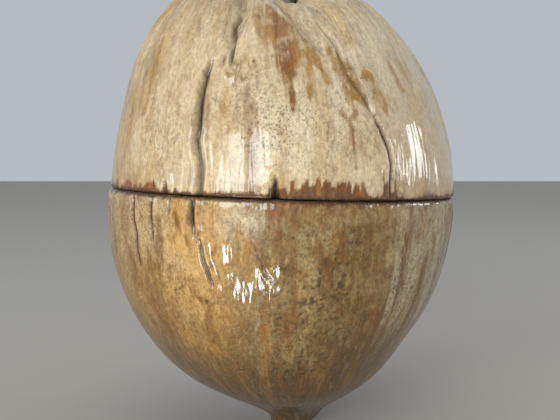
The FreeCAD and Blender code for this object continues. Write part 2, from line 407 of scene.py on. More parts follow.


# Grooves: (half width, depth, darkness of the painted shade in the groove and of its split line, lip on the
# left, lip on the right, points)
LID_GROOVES = [
    # the long fold left of the middle
    (1.5, 1.9, 1.0, 0.9, 0.1, [(-110.5, 179), (-112.5, 173), (-113.5, 167), (-114, 161), (-114, 150),
        (-114.3, 146), (-113.5, 141), (-112.2, 134), (-112.3, 129), (-112.5, 122)]),
    # wide folds either side of the front lobe of the crown
    (4.5, 3.0, 0.25, 0.3, 0.3, [(-103, 213), (-102.6, 203), (-104, 194), (-105, 184)]),
    (3.4, 2.0, 0.22, 0.2, 0.2, [(-86, 206), (-80, 196), (-76.5, 189), (-74.8, 182)]),
    # shallow hollow between the two broad ribs right of it
    (3.0, 0.65, 0.22, 0.2, 0.1, [(-99.5, 172), (-98.5, 160), (-98, 146), (-97.7, 132), (-97.4, 122)]),
    # forked crack below the front of the crown
    (0.75, 2.2, 1.0, 0.3, 0.3, [(-104, 203), (-103, 199), (-105, 195), (-103.5, 186), (-104, 179),
        (-104.5, 172)]),
    (0.65, 2.0, 1.0, 0.2, 0.2, [(-98, 199), (-100, 196), (-104.5, 194)]),
    (0.8, 1.0, 0.9, 0.1, 0.1, [(-105.5, 183), (-106.7, 178), (-107.5, 172)]),
    # creases right of the front lobe
    (0.5, 0.5, 0.45, 0.0, 0.1, [(-83, 198), (-81, 192), (-80, 184)]),
    (0.8, 0.8, 0.35, 0.0, 0.5, [(-73, 195), (-69.5, 186), (-68.7, 179), (-68, 172), (-63.8, 162),
        (-61.5, 152)]),
    (0.6, 1.0, 0.85, 0.0, 0.5, [(-62.3, 157), (-61, 151), (-59.3, 145), (-58.5, 141), (-58, 135),
        (-58.6, 129), (-58.6, 122)]),
    (0.45, 0.5, 0.6, 0.2, 0.2, [(-61, 134), (-60.6, 128), (-60.4, 122)]),
    # far left
    (0.5, 0.6, 0.9, 0.1, 0.1, [(-142, 162), (-145, 157)]),
    (1.0, 0.5, 0.3, 0.3, 0.0, [(-150, 172), (-147, 160), (-145, 146), (-144, 132)]),
    # splits at the rim
    (1.0, 2.2, 1.0, 0.3, 0.3, [(-124.2, 130), (-124.4, 122)]),
    (0.8, 1.6, 1.0, 0.1, 0.1, [(-128.6, 128), (-129.4, 122)]),
    (1.2, 2.4, 1.0, 0.3, 0.2, [(-91.6, 131), (-91.4, 127), (-91, 121)]),
    (0.9, 2.0, 1.0, 0.1, 0.1, [(-93.4, 127.5), (-92.4, 124), (-92, 121)]),
    (0.8, 1.8, 1.0, 0.1, 0.1, [(-90, 127), (-90.6, 123), (-90.6, 121)]),
    # ones round the sides and the back, of the same kinds
    (1.3, 1.4, 0.8, 0.5, 0.1, [(-18, 188), (-16, 172), (-14, 158), (-15, 144)]),
    (0.6, 1.0, 0.8, 0.1, 0.1, [(10, 196), (12, 184), (11, 174)]),
    (1.4, 1.6, 0.8, 0.1, 0.7, [(58, 190), (60, 172), (59, 156), (61, 140), (60, 122)]),
    (0.6, 0.9, 0.8, 0.1, 0.1, [(98, 200), (101, 186), (100, 176)]),
    (1.2, 1.2, 0.7, 0.5, 0.1, [(135, 186), (138, 168), (140, 150)]),
    (0.6, 1.2, 0.9, 0.1, 0.1, [(84, 131), (84.5, 122)]),
    (0.6, 1.0, 0.9, 0.1, 0.1, [(165, 130), (164, 122)]),
]
BASE_GROOVES = [
    (0.8, 0.9, 0.85, 0.4, 0.0, [(-137.6, 121), (-137.4, 112), (-136.6, 106), (-137, 98), (-136, 92)]),
    (0.7, 1.1, 1.0, 0.2, 0.3, [(-129, 123), (-129, 114), (-128.5, 107), (-128.4, 101)]),
    (0.45, 0.6, 0.9, 0.0, 0.0, [(-122, 122), (-121.8, 115)]),
    (0.9, 1.4, 1.0, 0.7, 0.7, [(-114, 121), (-114, 113), (-113.3, 107)]),
    (0.7, 1.0, 0.8, 0.2, 0.7, [(-112, 108), (-111, 97), (-109.3, 90), (-108.3, 86)]),
    (0.5, 0.6, 0.6, 0.0, 0.3, [(-97, 105), (-95, 97), (-94, 93), (-92, 89)]),
    (0.4, 0.4, 0.7, 0.0, 0.0, [(-52, 106), (-52.5, 99), (-51.6, 93)]),
    (0.45, 0.4, 0.8, 0.0, 0.0, [(-54, 89), (-53, 80)]),
    (0.4, 0.4, 0.9, 0.0, 0.0, [(-64.6, 102), (-63.9, 99.5)]),
    (0.4, 0.35, 0.6, 0.0, 0.0, [(-101.5, 65), (-99.4, 68), (-98, 72)]),
    (0.4, 0.35, 0.7, 0.0, 0.0, [(-109, 46), (-104, 47), (-99, 46)]),
    (0.4, 0.4, 0.8, 0.0, 0.0, [(-84, 78.5), (-80, 79.8), (-76.5, 81.5)]),
    (0.4, 0.3, 0.6, 0.0, 0.0, [(-122.5, 83), (-119.5, 84.5), (-117, 87)]),
    (0.6, 0.8, 0.8, 0.1, 0.3, [(-20, 118), (-18, 104), (-19, 90)]),
    (0.6, 0.7, 0.8, 0.1, 0.2, [(20, 121), (21, 108), (20, 96)]),
    (0.7, 1.0, 0.9, 0.3, 0.1, [(70, 121), (71, 104), (69, 88), (70, 74)]),
    (0.5, 0.7, 0.8, 0.1, 0.1, [(108, 120), (109, 104)]),
    (0.6, 0.8, 0.8, 0.1, 0.2, [(150, 121), (148, 106), (149, 92)]),
    (0.5, 0.6, 0.8, 0.1, 0.2, [(-165, 120), (-166, 104), (-164, 92)]),
]
# strokes of stain: (kind, strength, points with half width)
LID_STAINS = [
    ("tan", 1.0, [(-90, 202, 2), (-89, 196, 4), (-87.5, 189, 5.2), (-87, 180, 4.6), (-86.8, 172, 3.6),
                  (-86.5, 164, 2.0), (-86.2, 157, 1.0)]),
    ("brown", 0.6, [(-87.4, 184, 1.6), (-86.6, 176, 2.2), (-86.5, 168, 1.4), (-86.4, 161, 0.9)]),
    ("ochre", 0.8, [(-94, 200, 3), (-93, 192, 3), (-92, 186, 2)]),
    ("ochre", 0.9, [(-81.5, 192, 1.4), (-81, 184, 2.3), (-81, 176, 2.4), (-80.8, 168, 1.8), (-81, 163, 0.8)]),
    ("ochre", 0.9, [(-79.5, 186, 1.2), (-77.6, 178, 2.0), (-75, 169, 1.4)]),
    ("ochre", 1.0, [(-71.4, 182, 2.4), (-69.8, 175, 3.6), (-67.6, 168, 4.0), (-65, 162, 3.0),
                    (-64, 159, 1.2)]),
    ("ochre", 0.9, [(-70.2, 166, 1.8), (-68.6, 159, 1.2)]),
    ("ochre", 0.95, [(-61, 172, 2.2), (-58.6, 166, 2.6), (-57, 160, 1.8), (-56.6, 156, 0.7)]),
    ("ochre", 0.75, [(-50, 180, 1.5), (-48.5, 175, 2.0), (-46.4, 167, 1.0)]),
    ("ochre", 0.6, [(-47, 184, 1.5), (-43, 178, 2.0), (-41, 172, 1.2)]),
    ("tan", 0.8, [(-72, 157, 0.9), (-70.8, 153, 1.1), (-69.8, 150, 0.8)]),
    ("tan", 0.7, [(-70.3, 153, 0.8), (-68.3, 155, 1.0), (-67.4, 158, 0.8)]),
    ("brown", 0.9, [(-70.2, 149.5, 0.7), (-70, 145, 0.9), (-69.6, 140, 1.0), (-69.5, 134, 0.7)]),
    ("ochre", 0.7, [(-142, 197, 3), (-141, 186, 5), (-139.5, 176, 5.5), (-138.6, 166, 4.2),
                    (-139, 158, 2.0)]),
    ("tan", 0.6, [(-146, 190, 2.0), (-143, 178, 2.6), (-141.5, 168, 1.6)]),
    ("ochre", 0.5, [(-135, 170, 2.0), (-134, 160, 2.5), (-135, 150, 2)]),
    ("brown", 0.8, [(-106.5, 173.5, 0.5), (-104.6, 171.5, 0.9), (-102.4, 172.4, 0.6), (-100.6, 170, 1.0),
                    (-98.6, 170.6, 0.6)]),
    ("brown", 0.7, [(-101, 174.5, 0.5), (-99.6, 172, 0.7), (-98, 173.5, 0.5)]),
    ("ochre", 0.6, [(-103, 176, 1.6), (-100, 178, 2.4), (-97.6, 175, 1.8)]),
    ("ochre", 0.55, [(-106, 158, 2.2), (-103, 154, 2.6), (-104, 148, 1.6)]),
    # painted shade: this ochre band down the shallow hollow stands in for the hollow's soft shading
    ("ochre", 0.45, [(-98, 166, 2.2), (-98, 155, 2.4), (-98, 145, 1.6)]),
    ("tan", 0.5, [(-111.5, 160, 1.5), (-111.5, 148, 1.8), (-110.5, 138, 1.5)]),
    ("brown", 1.0, [(-97, 177, 0.6)]), ("brown", 1.0, [(-96.5, 170, 0.5)]),
    ("brown", 0.9, [(-99.5, 162.5, 0.5)]),
    ("brown", 0.9, [(-94.5, 196.5, 0.9)]), ("brown", 0.8, [(-98.5, 148, 0.6)]),
    ("brown", 0.7, [(-125, 170, 0.8), (-125.5, 168, 0.6)]), ("brown", 0.7, [(-126.4, 165.5, 0.7)]),
    ("ochre", 0.8, [(30, 196, 3), (28, 182, 4), (30, 170, 2.5)]),
    ("ochre", 0.8, [(75, 190, 2), (78, 176, 3.5), (77, 160, 2)]),
    ("brown", 0.8, [(112, 200, 2.5), (110, 186, 3.5), (111, 172, 2)]),
    ("ochre", 0.7, [(160, 190, 3), (163, 172, 4), (161, 156, 2)]),
    ("ochre", 0.7, [(-10, 184, 2), (-6, 170, 3), (-8, 156, 1.6)]),
    ("brown", 0.6, [(48, 160, 1.2), (49, 148, 1.2)]),
]
BASE_STAINS = [
    ("brown", 0.75, [(-92.8, 119, 1.8), (-91.6, 112, 2.6), (-90.6, 105, 1.8)]),
    ("brown", 0.7, [(-90.5, 117, 2.2), (-87.6, 114, 2.6), (-85.8, 111, 1.6)]),
    ("brown", 0.55, [(-84.4, 119, 2.0), (-80.6, 116, 2.6), (-76, 117, 2)]),
    ("brown", 0.6, [(-86.6, 102, 1.6), (-86, 96, 2.4)]),
    ("dark", 0.65, [(-89, 95, 1.4), (-86.4, 93.5, 2.2), (-84.4, 94, 1.4)]),
    ("brown", 0.8, [(-85.6, 93, 1.4), (-85.4, 82, 1.2), (-86, 70, 1.6), (-86, 60, 1.2)]),
    ("brown", 0.65, [(-80, 102, 2.4), (-77, 96, 3.6), (-73.4, 99, 2.6), (-72.6, 106, 1.5)]),
    ("dark", 0.45, [(-79, 98, 1.5), (-75, 94, 2.0)]),
    ("dark", 0.5, [(-83, 88, 1.0), (-79, 85, 1.6), (-74, 82, 2.2)]),
    ("brown", 0.9, [(-118.8, 115, 1.1), (-117.6, 108, 1.3)]),
    ("brown", 0.7, [(-126, 105.6, 1.0), (-124.4, 104, 0.8)]),
    ("brown", 0.7, [(-116, 107, 0.8), (-115.2, 101, 0.8)]),
    ("brown", 0.65, [(-137, 104, 1.2), (-137, 96, 1.8), (-135.6, 88, 2.2), (-132, 78, 1.8)]),
    ("brown", 0.5, [(-141, 98, 1.5), (-138, 84, 2.5), (-133, 70, 2.2), (-128, 60, 2)]),
    ("brown", 0.9, [(-114.6, 83, 0.8), (-112.4, 80, 1.3)]),
    ("dark", 0.9, [(-111, 80, 0.6)]), ("dark", 0.9, [(-90.5, 73, 0.6)]), ("dark", 0.8, [(-57.5, 112, 0.7)]),
    ("dark", 0.8, [(-66.6, 103, 0.6)]), ("dark", 0.8, [(-70, 82.5, 0.8)]),
    ("orange", 1.0, [(-94.4, 70, 1.3), (-94.6, 66, 1.8), (-94.8, 63, 1.0)]),
    ("dark", 0.85, [(-79.4, 38, 1.6), (-78.6, 32, 2.4), (-78, 27, 1.6)]),
    ("orange", 0.6, [(-80.5, 40, 1.5), (-80, 33, 2)]),
    ("brown", 0.7, [(-62, 97, 1.2), (-61.8, 93, 1.2)]), ("brown", 0.7, [(-60, 95, 1.0), (-58.6, 87, 1.4)]),
    ("brown", 0.7, [(-38, 107, 1.2), (-36.4, 100, 1.6), (-35.6, 93, 1.2)]),
    ("brown", 0.75, [(-60, 74, 1.6), (-57, 69, 2.4), (-54, 64, 1.8), (-50, 58, 1.4)]),
    ("dark", 0.5, [(-66, 75, 2.2), (-63, 71, 2.4)]),
    ("dark", 0.35, [(-72, 62, 4), (-66, 56, 6), (-60, 52, 5)]),
    ("brown", 0.6, [(-52.4, 107, 1.4), (-53, 98, 1.8), (-52, 92, 1.2), (-50, 84, 1.8)]),
    ("brown", 0.5, [(-97.5, 106, 2), (-98.5, 99, 3.4), (-97.4, 92, 2.4)]),
    ("ochre", 0.6, [(-99.4, 110, 3), (-98.8, 100, 4.6), (-97, 90, 3)]),
    ("brown", 0.5, [(-109, 46, 1.0), (-104, 47, 1.2), (-99, 46.5, 0.9)]),
    ("ochre", 0.6, [(-124, 64, 3), (-116, 58, 4), (-110, 55, 3)]),
    ("brown", 0.6, [(10, 112, 2), (12, 98, 3), (10, 84, 2)]),
    ("brown", 0.7, [(48, 116, 2), (50, 104, 3), (47, 92, 2.4)]),
    ("dark", 0.5, [(80, 96, 2), (84, 88, 3), (86, 80, 2)]),
    ("brown", 0.7, [(120, 110, 2), (122, 96, 3), (120, 80, 2)]),
    ("ochre", 0.7, [(160, 112, 4), (162, 96, 5), (158, 80, 4)]),
    ("brown", 0.6, [(-170, 100, 2), (-168, 84, 2.6), (-164, 70, 2)]),
    ("dark", 0.4, [(30, 70, 3), (38, 62, 4), (46, 58, 3)]),
]
COLOURS = {
    # stains
    "ochre": (0.37, 0.185, 0.040), "tan": (0.285, 0.125, 0.030), "brown": (0.185, 0.070, 0.015),
    "dark": (0.036, 0.019, 0.008), "orange": (0.25, 0.085, 0.014),
    # grounds and washes of the lid
    "straw": (0.63, 0.470, 0.268), "cream": (0.70, 0.565, 0.372), "drab": (0.52, 0.42, 0.275),
    "honey": (0.53, 0.335, 0.135), "toffee": (0.46, 0.27, 0.09), "amber": (0.42, 0.215, 0.050),
    "mottle": (0.42, 0.27, 0.11), "rim_halo": (0.36, 0.185, 0.055),
    # grounds and washes of the base
    "olive_brown": (0.29, 0.180, 0.062), "gold": (0.50, 0.285, 0.088), "grey_straw": (0.40, 0.325, 0.185),
    # the near-black brown on the next line is painted shade for the lower base
    "pale": (0.46, 0.36, 0.20), "bottom_shade": (0.078, 0.046, 0.014), "russet": (0.23, 0.125, 0.035),
    "umber": (0.17, 0.075, 0.018), "pale_streak": (0.47, 0.38, 0.23), "dark_streak": (0.15, 0.062, 0.014),
    "chestnut": (0.140, 0.062, 0.014), "moss": (0.20, 0.14, 0.05), "bark": (0.095, 0.042, 0.012),
    # the pale colour at the end of the next line is a painted sheen for the glints under the seam
    "buff": (0.34, 0.24, 0.095), "fleck": (0.030, 0.017, 0.008), "under_seam_sheen": (0.56, 0.46, 0.29),
    # saw cut, splits and stem pit, and the painted shade of the rim chips, the grooves and the seam
    "cut_stain": (0.130, 0.036, 0.006), "cut_stain_light": (0.34, 0.125, 0.018), "smudge": (0.07, 0.06, 0.06),
    "chip": (0.035, 0.016, 0.008), "groove_side_shade": (0.26, 0.15, 0.065), "groove_core_shade": (0.042, 0.022, 0.016),
    "edge": (0.03, 0.014, 0.008), "pit": (0.09, 0.055, 0.03), "pit_dust": (0.30, 0.22, 0.12),
}
# triangular chips at the lid's rim: azimuth, half width, height, depth
RIM_CHIPS = [(-124.3, 1.5, 7.5, 1.8), (-128.9, 1.0, 5.5, 1.3), (-91.2, 1.3, 8.5, 2.2), (-93.2, 0.9, 5.0, 1.5)]
CHIP_ARC = 1.45             # mm round the rim for one degree
SPLIT_LIMIT = 2.0           # a groove with a larger half width is a fold, and has no split in it
FAR = 4.0                   # split distance, in half widths, that counts as away from any split


def mix(ground, name, amount):
    amount = np.clip(amount, 0, 1)[..., None]
    return ground * (1 - amount) + np.array(COLOURS[name]) * amount


def rise(field, start, length):
    """0 before start, 1 after start + length."""
    return smooth((field - start) / length)


def fall(field, end, length):
    """1 before end - length, 0 after end."""
    return smooth((end - field) / length)


class HalfSkin:
    """Skin grid of one half, with the fields that its form and its colours share."""

    def __init__(self, skin, along, side):
        self.skin, self.along, self.lid = skin, along, side > 0
        self.x, self.y, self.z = skin[..., 0], skin[..., 1], skin[..., 2]
        centre = np.interp(self.z, PROFILE[:CREST + 1, 1], PROFILE[:CREST + 1, 2])
        self.azimuth = np.degrees(np.arctan2(self.y, self.x - centre))
        angle = np.radians(self.azimuth)
        self.around = np.stack([np.cos(angle), np.sin(angle), np.zeros_like(angle)], -1)
        self.ribs = self.streak(7.0, 90.0, 3)
        self.fine = self.streak(34.0, 26.0, 5)
        self.fibre = self.streak(90.0, 9.0, 7)
        self.wide = self.blob(30.0, 21, 3)
        self.edge_noise = 1.0 * self.blob(6.0, 35, 3) + 0.9 * self.fine + 0.5 * self.fibre

    def streak(self, across, length, seed, octaves=3):
        """Noise drawn out up the fruit."""
        q = self.around * across
        q[..., 2] = self.z / length
        return fbm(q, octaves, seed)

    def blob(self, size, seed, octaves=4):
        """Noise of even size in every direction."""
        return fbm(self.skin / size, octaves, seed)

    def band(self, start, rise_over, end, fall_over):
        """1 between two azimuths, fading to 0 outside."""
        return rise(self.azimuth, start, rise_over) * fall(self.azimuth, end, fall_over)

    def spot(self, azimuth, width, height, tall):
        """Soft oval round a place."""
        return np.exp(-((self.azimuth - azimuth) / width) ** 2 - ((self.z - height) / tall) ** 2)


def relief(half):
    """Outward offset in mm without grooves, and how far each point is in a chip of the rim."""
    azimuth, z, along, fine = half.azimuth, half.z, half.along, half.fine
    # slow hollows, long ribs, fine fibres, folds towards the crown
    crown = rise(z, 165.0, 45.0)
    rough_front = 0.0 if half.lid else bump(azimuth + 101.0, 13.0) * fall(z, 112.0, 8.0)
    calm = 1.0 - 0.7 * bump(azimuth + 101.0, 11.0) * fall(z, 160.0, 12.0) if half.lid else 1.0
    offset = 0.35 * half.blob(38.0, 1, 2) + (0.22 * calm + 1.0 * crown) * half.ribs
    offset += ((0.035 * calm + 0.25 * crown + 0.09 * rough_front) * fine
               + (0.014 + 0.02 * rough_front) * half.fibre)
    offset += 0.05 * calm * half.blob(5.0, 2, 3)
    offset += 1.2 * rise(z, 172.0, 36.0) * half.streak(13.0, 130.0, 11, 2)
    offset += np.exp(-along / 7.0) * (0.10 * half.fibre + 0.16 * fine)
    right_rim = half.band(-66.0, 8.0, -20.0, 15.0)
    offset += right_rim * (0.42 if half.lid else 0.20) * np.exp(-along / 30.0) * half.streak(21.0, 60.0, 9, 3)
    chip = np.zeros_like(z)
    if half.lid:
        for at, half_width, tall, deep in RIM_CHIPS:
            width = half_width * np.clip(1.0 - along / tall, 0.001, 1)
            across = (azimuth - at) * CHIP_ARC + 0.4 * fine
            offset -= deep * np.exp(-(across / width) ** 2) * smooth(1.6 - 1.6 * along / tall)
            # the chip's mask, which carries its painted shade
            chip = np.maximum(chip, np.exp(-(across / (0.8 * width)) ** 4))
    else:               # the base swells a little less right at the saw cut
        offset -= 0.42 * np.clip(1.0 - along / 6.5, 0, 1) ** 2 * (1.0 + 0.5 * half.streak(24.0, 20.0, 13, 3))
        ridges = bump(azimuth + 68.0, 7.0) * np.exp(-along / 9.0)
        offset += 0.30 * ridges * half.streak(62.0, 40.0, 15, 2)
        offset += 0.5 * bump(azimuth + 117.0, 2.2) * fall(z, 124, 4.0) * rise(z, 84.0, 20.0)
        offset += 0.45 * bump(azimuth + 137.8, 1.6) * rise(z, 104.0, 10.0)
        offset += 0.40 * bump(azimuth + 104.0, 2.4) * rise(z, 86.0, 12.0) * fall(z, 110.0, 8.0)
    # rounded, worn rims
    rounding = 0.9 if half.lid else 1.3 + 0.8 * fall(azimuth, -100.0, 40.0)
    edge = np.clip(1.0 - along / (rounding * (1.0 + 0.35 * fine)), 0, 1)
    offset -= rounding * 0.55 * edge ** 2
    return offset, chip


def cut_grooves(half, offset):
    """Press the grooves into offset; return the painted shade of their cores and sides, and the split fields.
    """
    core_shade, side_shade = np.zeros_like(half.z), np.zeros_like(half.z)
    gaps, sides, darks = np.full(half.z.shape, FAR), np.full(half.z.shape, FAR), np.zeros_like(half.z)
    for half_width, depth, dark, lip_l, lip_r, points in (LID_GROOVES if half.lid else BASE_GROOVES):
        ends = [1.0 if abs(points[k][1] - SEAM_Z) < 3 else 0.3 for k in (0, -1)]
        widths = [ends[0]] + [1.0] * (len(points) - 2) + [ends[1]]
        d, value, on = nearest(half.skin, [p + (w,) for p, w in zip(points, widths)])
        wander = (1.0 + 0.3 * half.fine) * np.maximum(value[..., 0], 0.05)
        depth = depth * np.minimum(1.0, 0.3 + value[..., 0])
        groove = np.exp(-(d / (half_width * wander)) ** 2)
        offset -= depth * groove
        lip = np.exp(-((d - 2.3 * half_width) / (1.4 * half_width)) ** 2)
        offset += np.where(on > 0, lip_r, lip_l) * lip * (1 - groove)
        # painted shade of the groove: near black in its core, brown at its sides
        core = np.exp(-(d / (min(1.15, 0.45 + 0.45 / half_width) * half_width * wander)) ** 4)
        core_shade = np.maximum(core_shade, dark * core)
        side_shade = np.maximum(side_shade, dark * np.exp(-(d / (1.5 * half_width * wander)) ** 2))
        if half_width > SPLIT_LIMIT:
            continue
        gap = np.minimum(d / (0.55 * half_width * np.maximum(wander, 0.4)), FAR)
        closer = gap < gaps
        gaps = np.where(closer, gap, gaps)
        sides = np.where(closer, np.where(on > 0, gap, -gap), sides)
        darks = np.where(closer, dark, darks)
    return core_shade, side_shade, {"split_gap": gaps, "split_side": sides, "split_dark": darks}


def lid_ground(half):
    azimuth, wide = half.azimuth, half.wide
    base = np.zeros(half.z.shape + (3,)) + COLOURS["straw"]
    base = mix(base, "cream", 0.8 * smooth(0.4 + wide))
    base = mix(base, "drab", 0.6 * half.band(-66, 25.0, 60, 60.0))
    base = mix(base, "honey", 0.6 * smooth(0.1 + 1.0 * half.streak(9.0, 40.0, 23)))
    base = mix(base, "toffee", 0.75 * fall(azimuth, -122, 14.0) * smooth(0.7 + wide))
    wash = half.spot(-141.0, 7.0, 178.0, 20.0)
    base = mix(base, "amber", 0.8 * wash * smooth(0.7 + wide + 0.4 * half.fine))
    mottle = smooth(0.1 + 1.3 * half.blob(7.0, 27, 4)) * smooth(0.4 + 1.2 * half.blob(22.0, 29, 2))
    return mix(base, "mottle", 0.35 * mottle)


def base_ground(half):
    azimuth, z, streak, blob = half.azimuth, half.z, half.streak, half.blob
    base = np.zeros(z.shape + (3,)) + COLOURS["olive_brown"]
    base = mix(base, "gold", fall(azimuth, -97, 12.0) + rise(azimuth, 120, 30.0))
    base = mix(base, "grey_straw", 0.85 * (half.band(-62, 14.0, 40, 40.0)))
    base = mix(base, "pale", 0.6 * smooth(0.2 + half.wide) * rise(z, 80, 30.0))
    # painted shade: the base darkens towards the bottom, where the fruit shades itself
    base = mix(base, "bottom_shade", 0.95 * fall(z, 110, 80.0))
    base = mix(base, "russet", 0.55 * smooth(0.05 + streak(10.0, 30.0, 25)))
    base = mix(base, "umber", 0.7 * smooth(-0.25 + 1.5 * streak(17.0, 22.0, 26, 4)))
    right = rise(azimuth, -62.0, 8.0)
    pale = 0.75 * right * smooth(-0.15 + 1.8 * streak(13.0, 90.0, 43, 2)) * rise(z, 52, 20.0)
    base = mix(base, "pale_streak", pale)
    base = mix(base, "dark_streak", 0.75 * right * smooth(-0.55 + 2.0 * streak(19.0, 60.0, 44, 3)))
    mottle = smooth(0.1 + 1.3 * blob(6.0, 27, 4)) * smooth(0.4 + 1.2 * blob(22.0, 29, 2))
    base = mix(base, "brown", 0.45 * mottle)
    middle = np.exp(-((azimuth + 78.0) / 17.0) ** 2) * fall(z, 119, 10.0) * rise(z, 40, 20.0)
    base = mix(base, "chestnut", 0.8 * middle * smooth(0.0 + 1.9 * blob(5.0, 33, 4)))
    base = mix(base, "moss", 0.45 * middle)
    base = mix(base, "bark", 0.75 * middle * smooth(-0.35 + 1.9 * streak(13.0, 34.0, 51, 4)))
    base = mix(base, "buff", 0.6 * middle * smooth(-0.35 + 1.9 * streak(9.0, 30.0, 53, 3)))
    flecks = np.exp(-((azimuth + 80.0) / 22.0) ** 2) * fall(z, 116, 10.0) * rise(z, 28, 20.0)
    flecks = 0.8 * flecks * smooth(-1.05 + 3.2 * blob(1.6, 31, 4) + 0.7 * blob(12.0, 57, 2))
    base = mix(base, "fleck", flecks)
    # painted sheen: a pale spot at the front just under the seam, where the window glints fall
    return mix(base, "under_seam_sheen", 0.7 * half.spot(-99, 7.0, 113, 7.0))


def stain_strokes(half, base):
    base = mix(base, "ochre", 0.35 * smooth(-0.35 + 1.4 * half.streak(22.0, 18.0, 33)))
    patchy = 0.42 + 0.58 * smooth(0.62 + 1.0 * half.blob(3.6, 41, 4) + 0.5 * half.fine)
    for kind, strength, points in (LID_STAINS if half.lid else BASE_STAINS):
        d, value, _ = nearest(half.skin, points)
        radius = value[..., 0] + 1e-6
        soft = smooth(0.5 + (radius - d + 0.6 * radius ** 0.5 * half.edge_noise) / (0.9 + 0.35 * radius))
        soft = np.where(d < 1e8, soft, 0.0)
        base = mix(base, kind, strength * soft * patchy)
    return base


def saw_cut_stain(half, base):
    """Brown stain that has crept away from the saw cut."""
    azimuth, along, lid = half.azimuth, half.along, half.lid
    finger = smooth(0.5 + 0.55 * half.streak(15.0, 60.0, 38, 2) + 0.45 * half.streak(60.0, 14.0, 37, 3))
    if lid:
        front = half.band(-93.5, 2.0, -65.0, 3.0)
        second = half.band(-61.5, 1.0, -55.0, 1.5)
        reach = (1.3 + 1.2 * finger + front * (2.0 + 3.4 * finger) + second * (2.0 + 6.0 * finger)
                 + 1.6 * fall(azimuth, -118, 6.0) * finger)
        reach += 2.5 * finger * rise(azimuth, -30, 20.0)
        base = mix(base, "rim_halo", 0.6 * np.exp(-along / 4.0) * smooth(0.6 + 0.5 * half.edge_noise))
    else:
        front = half.band(-93.0, 3.0, -64.0, 4.0)
        reach = 0.6 + 0.8 * finger + front * 1.5 * finger
    stain = smooth(0.5 + (reach + 0.7 * half.edge_noise - along) / 1.1)
    base = mix(base, "cut_stain", 0.94 * stain)
    base = mix(base, "cut_stain_light", 0.75 * stain * smooth(0.1 + half.fine) * smooth(along / 1.5 - 0.4))
    smudge = np.exp(-((azimuth + 42.0) / 2.6) ** 2 - (np.maximum(0, along - 0.5) / 3.2) ** 2)
    return mix(base, "smudge", (0.75 if lid else 0.35) * smudge)


def speck_fields(half):
    """Where specks are thick, and how strong the mottling is."""
    azimuth, wide = half.azimuth, half.wide
    if half.lid:
        specks = half.spot(-87.0, 17.0, 150.0, 22.0)
        specks += 0.8 * half.spot(-128.0, 9.0, 150.0, 13.0)
        specks += 0.5 * rise(azimuth, -40, 30.0) * smooth(0.3 + wide) + 0.12
        mottled = 0.45 - 0.25 * half.band(-64, 12.0, 20, 30.0)
    else:
        specks = 0.50 + 0.4 * smooth(0.2 + wide) + 0.6 * half.spot(-76.0, 15.0, 86.0, 26.0)
        mottled = 0.85 + 0.15 * np.exp(-((azimuth + 80) / 25.0) ** 2) - 0.3 * fall(azimuth, -128, 12.0)
    return np.clip(specks, 0, 1), mottled


def skin_details(skin, along, side):
    """Outward offset in mm, and the colour, split and speck masks, of one half's skin grid."""
    half = HalfSkin(skin, along, side)
    offset, chip = relief(half)
    core_shade, side_shade, splits = cut_grooves(half, offset)
    base = lid_ground(half) if half.lid else base_ground(half)
    base = saw_cut_stain(half, stain_strokes(half, base))
    # painted shade: near black over the rim chips
    base = mix(base, "chip", 0.95 * chip)
    # painted shade in the grooves: brown at their sides, near black in their cores
    base = mix(base, "groove_side_shade", side_shade * 0.75)
    base = mix(base, "groove_core_shade", np.clip(core_shade, 0, 1) * 0.94)
    # painted shade along the seam: both halves' rims darken to near black over their first millimetre or so
    base = mix(base, "edge", np.clip(1.25 - along / (1.1 + 0.4 * half.fine), 0, 1) * 0.95)
    if half.lid:        # the stem pit is dark and dusty
        pit = fall(np.hypot(half.x, half.y), 27.0, 15.0) * rise(half.z, 195, 8.0)
        base = mix(base, "pit", 0.9 * pit)
        base = mix(base, "pit_dust", 0.5 * rise(half.z, 196, 18.0) * smooth(0.4 - 1.6 * half.ribs))
    specks, mottled = speck_fields(half)
    around = half.around.copy()
    around[..., 2] = half.z * 0.01
    # the grooves' painted core shade also goes to the mesh, where it roughens the varnish
    masks = {"tint": base, "specks": specks, "mottled": mottled, "crease_shade_and_dirt": np.clip(core_shade, 0, 1),
             "around": around, **splits}
    return offset, masks


